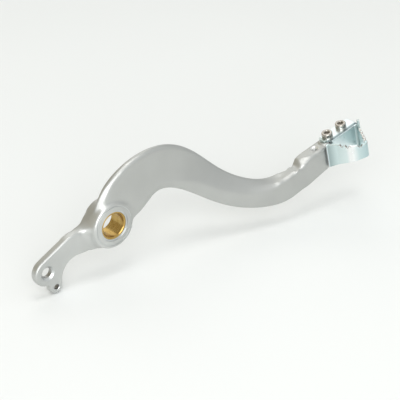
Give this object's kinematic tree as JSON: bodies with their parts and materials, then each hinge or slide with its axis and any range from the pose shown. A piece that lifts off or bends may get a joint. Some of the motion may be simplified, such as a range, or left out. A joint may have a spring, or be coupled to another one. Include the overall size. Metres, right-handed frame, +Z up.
{
  "type": "motorcycle rear brake pedal",
  "caption": "Forged S-curved foot lever with a brass-bushed pivot boss, a rear actuating arm with an eye and a spring lobe, and a screwed-on toothed step plate.",
  "frame": {"origin": "on the pivot axis, half way along the boss", "axes": "+X forward from the pivot to the step plate, +Y along the pivot axis towards the motorbike, -Y outboard, +Z up"},
  "size_m": [0.2826, 0.0669, 0.0867],
  "materials": {
    "lever": "satin bead-blasted forging",
    "pivot_bush": "turned",
    "step_plate": "bright zinc plating, bluish",
    "step_screws": "polished"
  },
  "bodies": {
    "root": {"lever": "lever", "pivot_bush": "pivot_bush", "step_plate": "step_plate", "step_screws": "step_screws"}
  },
  "joints": []
}
